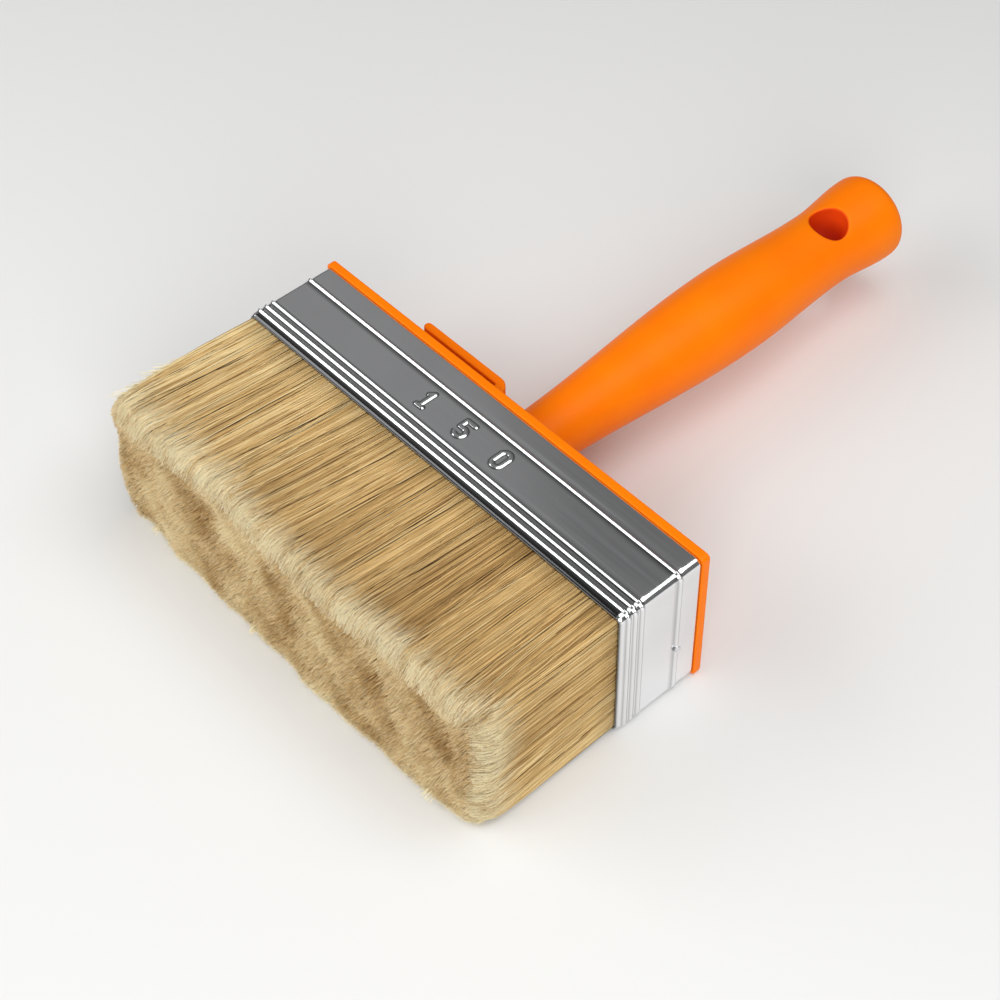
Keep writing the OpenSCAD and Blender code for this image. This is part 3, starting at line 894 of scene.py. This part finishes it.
def strand_mesh(name, strands, material, nodes):
    """Three-sided closed strands; strands is (paths, radii, tones, reach along v).

    Each strand's map is a narrow upright stripe: its tone is its place along u.
    """
    paths, radii, tones, reach = strands
    count, length = paths.shape[:2]
    ahead = paths[:, -1] - paths[:, 0]
    ahead /= np.linalg.norm(ahead, axis=1)[:, None]
    first = np.cross(ahead, (0, 0, 1))
    first /= np.linalg.norm(first, axis=1)[:, None]
    second = np.cross(ahead, first)
    turn = RNG.uniform(0, 2 * math.pi, count)[:, None] + np.arange(3) * 2 * math.pi / 3
    around = np.cos(turn)[..., None] * first[:, None] + np.sin(turn)[..., None] * second[:, None]
    points = paths[:, :, None] + radii[..., None, None] * around[:, None]
    points[..., 2] = np.maximum(points[..., 2], FLOOR_CLEAR)
    base = (np.arange(count) * length * 3)[:, None, None]
    row = (np.arange(length - 1) * 3)[None, :, None]
    side = np.arange(3)[None, None, :]
    side_next = (side + 1) % 3
    quads = np.stack([base + row + side, base + row + side_next,
                      base + row + 3 + side_next, base + row + 3 + side], 3).reshape(-1, 4)
    flat = base[:, 0]
    last = flat + (length - 1) * 3
    caps = np.concatenate([flat + [2, 1, 0], last + [0, 1, 2]])
    width = 0.012
    cap_rise = 0.01
    shape = (count, length - 1, 3, 4)
    across = np.array([0, 1, 1, 0]) * width / 3 + side[..., None] * width / 3
    u = tones[:, None, None, None] + across
    run = np.cumsum(np.linalg.norm(np.diff(paths, axis=1), axis=2), axis=1)
    share = np.concatenate([np.zeros((count, 1)), run / run[:, -1:]], 1)
    v = reach[:, :1] + (reach[:, 1:] - reach[:, :1]) * share
    up = np.stack([v[:, :-1], v[:, :-1], v[:, 1:], v[:, 1:]], 2)[:, :, None, :]
    quad_uv = np.stack([np.broadcast_to(u, shape), np.broadcast_to(up, shape)], 4)
    cap_u = tones[:, None] + np.array([0, width / 2, width])
    cap_v = np.array([0.0, cap_rise, 0.0])
    low_uv = np.stack([cap_u, reach[:, :1] + cap_v], 2)
    high_uv = np.stack([cap_u, reach[:, 1:] - cap_rise + cap_v], 2)
    piece = make_piece(name, points.reshape(-1, 3), [quads, caps],
                       uvs=[quad_uv, np.concatenate([low_uv, high_uv])])
    finish_piece(piece, material, "bristle", *nodes)


def strand_pieces(name, strands, material, nodes, most=190000):
    """Strands in as many pieces as keep each under the most triangles."""
    count, length = strands[0].shape[:2]
    parts = math.ceil(count * ((length - 1) * 6 + 2) / most)
    for i, part in enumerate(np.array_split(np.arange(count), parts)):
        strand_mesh(f"{name}_{i + 1}", [value[part] for value in strands], material, nodes)


def of_clump(clump, scale):
    """One random value of the given spread for every strand, shared by its clump."""
    _, index = np.unique(clump, return_inverse=True)
    return RNG.normal(0, scale, index.max() + 1)[index]


def gathered(place, depth, width, out):
    """Clumps of the strands, and their places across as they draw together towards the tips."""
    clump = np.round(place * width / CLUMP_W + np.round(depth * 1.5) * 1000)
    centre = (np.mod(clump + 500, 1000) - 500) * CLUMP_W / width
    pull = RNG.uniform(0.05, 0.4, len(place))[:, None] * out
    return clump, place[:, None] * (1 - pull) + np.clip(centre, -1, 1)[:, None] * pull


def strand_shift(across, clump, t, flat_side):
    """How far the strands lean along their side, and which of them go astray."""
    count = len(across)
    sway = 0.7 * lumps(across, 0 * across, (37, 23, 11), 9)
    if flat_side:
        sway += np.interp(across, SWAY_X, SWAY)
    lean = of_clump(clump, 0.45) + sway + RNG.normal(0, 0.8, count)
    stray = RNG.uniform(0, 1, count) < STRAY_SHARE
    lean += np.where(stray, RNG.normal(0, 3.0, count), 0)
    pace = RNG.uniform(2, 6, count)[:, None]
    wander = 0.2 * np.sin(pace * t + RNG.uniform(0, 6.28, count)[:, None])
    return lean[:, None] * np.clip(t, 0, 1) ** 1.15 + wander * np.clip(t * 3, 0, 1), stray


def side_looks(across, depth, clump, x, z, out, flat_side):
    """Radii, tones and reach of one side's strands."""
    count = len(across)
    radii = RNG.uniform(0.09, 0.155, count)[:, None] * (1 - 0.5 * out ** 2.5)
    shade = 0.07 * lumps(x[:, 3], z[:, 3], (41, 23, 11), 12)
    shade += np.interp(across, LIGHT_X, LIGHT) * flat_side
    # painted shade: strands that lie deeper under the surface get darker tones
    tones = RNG.normal(0.455, 0.2, count) + of_clump(clump, 0.03) + shade - 0.08 * depth
    tones = np.clip(tones, FAIR_LOW, FAIR_HIGH)
    tones[RNG.uniform(0, 1, count) < 0.065] = DARK_TONE
    tips = 0.98 + 0.06 * lumps(x[:, -1], z[:, -1], (13, 8, 5), 51) + RNG.normal(0, 0.06, count)
    roots = np.interp(across, ROOT_X, ROOT_PALE) if flat_side else np.full(count, 0.3)
    return radii, tones, np.stack([roots, np.clip(tips, 0.72, 1)], 1)


def side_strands(side, count):
    """Long strands of one side of the head: 'top', 'bottom', 'left' or 'right'.

    Each runs from the mouth to the tips just under the surface and bends over the rim there.
    """
    flat_side = side in ("top", "bottom")
    width = MOUTH_W if flat_side else MOUTH_T
    sign = 1 if side in ("top", "right") else -1
    rim = {"top": TIP_TOP_R, "bottom": TIP_LOW_R, "left": TIP_LEFT_R, "right": TIP_RIGHT_R}[side]
    t = np.array([STRAND_STEPS])
    out = np.clip(t, 0, 1)
    half_w, half_t, mid = section(np.maximum(t, 0))
    half_along, half_out = (half_w, half_t) if flat_side else (half_t, half_w)
    limit = half_along - 0.1
    place = RNG.uniform(-1, 1, count)
    depth = CORE_DEPTH * 0.92 * RNG.uniform(0, 1, count) ** 1.2

    clump, across = gathered(place, depth, width, out)
    shift, stray = strand_shift(place * width, clump, t, flat_side)
    sink = depth + np.where(stray, 0, np.abs(of_clump(clump, 0.08)))
    sink = sink[:, None] + RNG.normal(0, 0.12, count)[:, None] * out
    along = np.clip(across * half_along + shift, -limit, limit)
    upper = side == "top" if flat_side else along > 0

    inner = sign * (half_out[:, -1] - rim) + np.zeros(count)
    end_mid = mid[:, -1]
    if flat_side:
        face = tip_place(along[:, -1], end_mid + inner)
    else:
        face = tip_place(inner, end_mid + along[:, -1])
    bend = RNG.uniform(0.2, 1.3 if flat_side else 0.95, count)
    end = face + rim * (1 - np.sin(bend)) + RNG.normal(0, 0.45, count)
    frizz = np.clip((t - FRIZZ_FROM) / FRIZZ_RUN, 0, 1) ** 1.5
    along = np.clip(along + RNG.normal(0, 0.8, count)[:, None] * frizz, -limit, limit)
    sink = sink + RNG.normal(0, 0.25, count)[:, None] * frizz
    y = FRONT_Y + (end - FRONT_Y)[:, None] * t
    past = np.clip(1 - (y - face[:, None]) / rim, 0, 0.99)
    sink = sink + rim * (1 - np.sqrt(1 - past ** 2))

    along, outward = wrapped(along, half_along, half_out, corner_radius(t, upper), sink)
    outward = sign * outward
    x, z = (along, mid + outward) if flat_side else (outward, mid + along)
    looks = side_looks(place * width, depth, clump, x, z, out, flat_side)
    return swollen(x, y, z), *looks


def tip_strands(low_z, high_z, pitch=0.37, points=3):
    """Short strands over the end of the head between two heights, in little tufts."""
    half_w, half_t, mid = section(1.0)
    jitter = 0.6
    margin = 0.5
    tuft_w = 1.1
    xs, zs = np.meshgrid(np.arange(-half_w, half_w, pitch), np.arange(low_z, high_z, pitch))
    x = xs.ravel() + RNG.uniform(-jitter, jitter, xs.size) * pitch
    z = zs.ravel() + RNG.uniform(-jitter, jitter, xs.size) * pitch
    keep = rounded_rect(x, z - mid, half_w, half_t, corner_radius(1.0, z > mid)) < -margin
    x, z = x[keep], z[keep]
    count = len(x)
    tuft_x = np.round(x / tuft_w + 0.4 * lumps(x, z, (5, 4, 3), 41))
    tuft_z = np.round(z / tuft_w + 0.4 * lumps(x, z, (5, 4, 3), 42))
    tuft = tuft_x * 1000 + tuft_z
    pull = RNG.uniform(0.1, 0.6, count)
    lean_x = pull * (tuft_x * tuft_w - x) + 0.35 * lumps(x, z, (23, 15, 9), 21)
    lean_z = pull * (tuft_z * tuft_w - z) + 0.35 * lumps(x, z, (23, 15, 9), 22)
    lean_x += of_clump(tuft, 0.35) + RNG.normal(0, 0.45, count)
    lean_z += of_clump(tuft, 0.35) + RNG.normal(0, 0.45, count)
    t = np.linspace(0, 1, points)[None, :]
    bend = t ** 1.5
    inset = 0.5 * (1 - t) + 0.25
    top = mid + half_t - 0.6
    px = np.clip(x[:, None] + bend * lean_x[:, None], inset - half_w, half_w - inset)
    pz = np.clip(z[:, None] + bend * lean_z[:, None], mid - half_t + inset, top - inset)
    end = tip_place(px[:, -1], pz[:, -1]) + np.abs(RNG.normal(0, 0.6, count)) + of_clump(tuft, 0.22)
    long = RNG.uniform(6, 8, count)[:, None]
    paths = swollen(px, end[:, None] + long * (1 - t), pz)
    radii = RNG.uniform(0.1, 0.15, count)[:, None] * (1 - 0.62 * t ** 1.5)
    cloud = lumps(x, z, (45, 29, 17, 10), 31)
    tones = RNG.normal(0.42, 0.13, count) + 0.12 * cloud + of_clump(tuft, 0.05)
    tones = np.clip(tones, FAIR_LOW, 0.95)
    tones[RNG.uniform(0, 1, count) < 0.015] = 0.09
    # strands near the rims of the end are paler for more of their length: pale flagged tips, with a
    # painted highlight along the rims
    low_rim = np.minimum(half_w - np.abs(x), z - mid + half_t) / 5
    high_rim = (mid + half_t - z) / (6.5 + 2.5 * lumps(x, z, (19, 11, 7), 33))
    pale = np.clip(1 - np.minimum(low_rim, high_rim), 0, 1) ** 1.5
    high = 0.88 + 0.025 * cloud + 0.12 * pale + RNG.normal(0, 0.025, count)
    reach = np.stack([high - 0.2, np.clip(high, 0.65, 1)], 1)
    return paths, radii, tones, reach


def hairs(places, radii, tones, low, high):
    """Strands from places along x, y and z, with one reach for all."""
    reach = np.stack([np.full(len(tones), low), np.full(len(tones), high)], 1)
    return np.stack(places, 2), radii, tones, reach


def loose_hairs(count=64, points=5):
    """Pale stray hairs that stand off the head's left side near the tips, most in three tufts."""
    half_w, half_t, mid = section(0.6)
    in_tuft = 0.75
    tufts_behind = (13.0, 20.0, 26.0)
    t = np.linspace(0, 1, points)[None, :]
    z = RNG.uniform(mid + half_t - 4, mid + half_t - 0.5, count)
    tuft = RNG.choice(tufts_behind, count)
    behind = np.where(RNG.uniform(0, 1, count) < in_tuft, RNG.normal(tuft, 1.2),
                      RNG.uniform(9, 36, count))
    y = TIP_Y + behind
    long = RNG.uniform(3, 6.5, count)
    out = RNG.uniform(0.25, 0.6, count) * long
    x = -half_w + 0.3 - out[:, None] * t ** 1.3
    px = x + 0.2 * np.sin(5 * t + RNG.uniform(0, 6.28, count)[:, None])
    py = y[:, None] - long[:, None] * t
    pz = z[:, None] + RNG.normal(0.4, 0.5, count)[:, None] * t
    radii = RNG.uniform(0.14, 0.22, count)[:, None] * (1 - 0.5 * t)
    return hairs([px, py, pz], radii, RNG.uniform(0.75, 0.95, count), 0.96, 1.0)


def rim_wisps(count=45, points=4):
    """Pale hairs that stand out of the lower rim of the tips in three little wisps."""
    wisps = (-63.0, -16.0, 57.0)
    t = np.linspace(0, 1, points)[None, :]
    x = RNG.choice(wisps, count) + RNG.normal(0, 0.7, count)
    z = RNG.uniform(2.6, 5.0, count)
    long = RNG.uniform(3.0, 5.0, count)
    y = tip_place(x, z) + 0.6 * long
    px = x[:, None] + RNG.normal(0, 0.5, count)[:, None] * t
    py = y[:, None] - long[:, None] * t
    pz = z[:, None] - RNG.uniform(0.2, 1.2, count)[:, None] * t
    radii = RNG.uniform(0.13, 0.2, count)[:, None] * (1 - 0.5 * t)
    return hairs([px, py, pz], radii, RNG.uniform(0.7, 0.95, count), 0.94, 1.0)


def crossing_hairs(count=90, points=7):
    """Dark and fair hairs that lie slantwise over the upper side."""
    half_w, half_t, mid = section(0.5)
    t = np.linspace(0, 1, points)[None, :]
    x = RNG.uniform(-MOUTH_W + 6, MOUTH_W - 6, count)
    start = RNG.uniform(0, 0.55, count)
    long = RNG.uniform(9, 24, count)
    lean = RNG.normal(0, 0.2, count) * long
    bow = RNG.normal(0, 0.5, count)
    px = x[:, None] + lean[:, None] * t + bow[:, None] * np.sin(math.pi * t)
    px = np.clip(px, 2 - half_w, half_w - 2)
    py = FRONT_Y - start[:, None] * OUT_LEN * 0.8 - long[:, None] * t
    along = (FRONT_Y - py) / OUT_LEN
    top = mid + half_t + SWELL_UP * (along - 0.5)
    pz = top - 0.1 - 0.5 * (1 - np.sin(math.pi * t)) - 0.2 * RNG.uniform(0, 1, count)[:, None]
    radii = RNG.uniform(0.08, 0.13, count)[:, None] * (1 - 0.4 * t)
    dark_share = 0.5
    tones = np.where(RNG.uniform(0, 1, count) < dark_share, 0.07, RNG.uniform(0.5, 0.9, count))
    return hairs([px, py, pz], radii, tones, 0.0, 0.6)


def core_field(x, y, z):
    """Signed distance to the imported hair: the head's shape less the depth of the single strands."""
    t = np.clip((FRONT_Y - y) / OUT_LEN, 0, 1)
    half_w, half_t, mid = section(t)
    r = corner_radius(t, z > mid)
    flat = rounded_rect(x, z - mid, half_w - CORE_DEPTH, half_t - CORE_DEPTH, r)
    return extruded(flat, span(y, TIP_Y + CORE_BACK, RESIN_LOW[1]), CORE_EDGE)


def make_core(material):
    """The plain core behind the single strands, on a grid that is fine at its edges."""
    fine = 0.8
    x_in = MOUTH_W - 10
    top = 2 * MID_Z
    back = RESIN_LOW[1]
    xs = grid_lines(-MOUTH_W - 1, (-x_in, fine), (x_in, 2.5), (MOUTH_W + 1, fine))
    ys = grid_lines(TIP_Y + 5, (TIP_Y + 13, fine), (back - 4, 2.0), (back + 1.5, fine))
    zs = grid_lines(-1, (12, fine), (top - 12, 2.0), (top + 2, fine))
    piece = solid_from("bristle_core", core_field, (xs, ys, zs))
    finish_piece(piece, material, "bristle", "bristles_upper", "bristles_middle", "bristles_lower")


def make_bristles():
    """The core, the long strands of each side, single hairs, and the short strands of the tips."""
    material = bristle_material()
    make_core(core_material())
    for side, count, row in (("top", 9400, "upper"), ("bottom", 3600, "lower"),
                             ("left", 2300, "middle"), ("right", 3000, "middle")):
        strands = side_strands(side, count)
        strand_pieces(f"bristles_{side}", strands, material, [f"bristles_{row}"])
    strand_pieces("bristles_loose", loose_hairs(), material, ["bristles_upper"])
    strand_pieces("bristles_crossing", crossing_hairs(), material, ["bristles_upper"])
    strand_pieces("bristles_wisps", rim_wisps(), material, ["bristles_lower"])
    _, half_t, mid = section(1.0)
    edges = np.linspace(mid - half_t, mid + half_t, 4)
    for row, low, high in zip(("lower", "middle", "upper"), edges[:-1], edges[1:]):
        strand_pieces(f"tips_{row}", tip_strands(low, high), material, [f"bristles_{row}"])


# ---- pieces ----

plastic = plastic_material()
make_ferrule(tinplate_material())
make_block(plastic)
make_handle(plastic)
make_bristles()

for node, material in (("ferrule_tacks", steel_material()), ("handle_screw", steel_material()),
                       ("resin", resin_material()), ("strip_upper", wood_material()),
                       ("strip_lower", wood_material())):
    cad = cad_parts[node]
    cad.data.materials.clear()
    cad.data.materials.append(material)


# ---- floor, lights and camera ----

def make_floor():
    """Plain pale paper that the brush lies on."""
    half = 3000.0
    points = np.array([(-half, -half, 0), (half, -half, 0), (half, half, 0), (-half, half, 0)])
    floor = make_piece("floor", points, [np.array([[0, 1, 2, 3]])])
    material, _, _, shader = new_material("floor_paper", (0.8, 0.8, 0.79), 0.8)
    shader.inputs["Specular IOR Level"].default_value = 0.2
    floor.data.materials.append(material)


def add_panel(name, direction, distance, size, power):
    """Soft rectangular lamp that faces the middle of the brush; lengths in metres."""
    lamp = bpy.data.lights.new(name, "AREA")
    lamp.shape = "RECTANGLE"
    lamp.size, lamp.size_y = size
    lamp.energy = power
    target = Vector((0, 0.02, 0.03))
    away = Vector(direction).normalized()
    panel = new_object(name, lamp)
    panel.location = target + away * distance
    panel.rotation_euler = away.to_track_quat("Z", "Y").to_euler()


def light_scene():
    """A dim white room and four soft panels, placed for the highlights in the photograph."""
    world = bpy.data.worlds.new("studio")
    world.use_nodes = True
    background = world.node_tree.nodes["Background"]
    background.inputs["Color"].default_value = (1, 1, 1, 1)
    background.inputs["Strength"].default_value = 0.14
    bpy.context.scene.world = world
    add_panel("front_left_panel", (-0.5, -0.66, 0.56), 0.9, (0.9, 0.5), 4.2)
    add_panel("front_right_panel", (0.75, -0.6, 0.5), 1.0, (0.6, 0.6), 5.2)
    add_panel("top_panel", (0.3, 0.15, 0.95), 1.0, (0.8, 0.8), 6.0)
    add_panel("back_left_panel", (-0.7, 0.27, 0.66), 1.0, (0.48, 0.65), 0.1)


def add_camera():
    """The camera that was fitted to the ferrule in the photograph."""
    azimuth, elevation, roll = np.radians((48.869, 48.809, 1.258))
    place = Vector((300.64, -265.68, 466.17)) * MM
    ahead = Vector((-math.sin(azimuth) * math.cos(elevation),
                    math.cos(azimuth) * math.cos(elevation), -math.sin(elevation)))
    right = ahead.cross(Vector((0, 0, 1))).normalized()
    down = ahead.cross(right)
    right, down = (right * math.cos(roll) + down * math.sin(roll),
                   down * math.cos(roll) - right * math.sin(roll))
    data = bpy.data.cameras.new("camera")
    data.sensor_width = 36.0
    data.lens = 76.62
    camera = new_object("camera", data)
    turn = Matrix((right, -down, -ahead)).transposed()
    camera.matrix_world = Matrix.Translation(place) @ turn.to_4x4()
    bpy.context.scene.camera = camera


make_floor()
light_scene()
add_camera()
bpy.context.scene.view_settings.view_transform = "Standard"

bpy.context.view_layer.update()
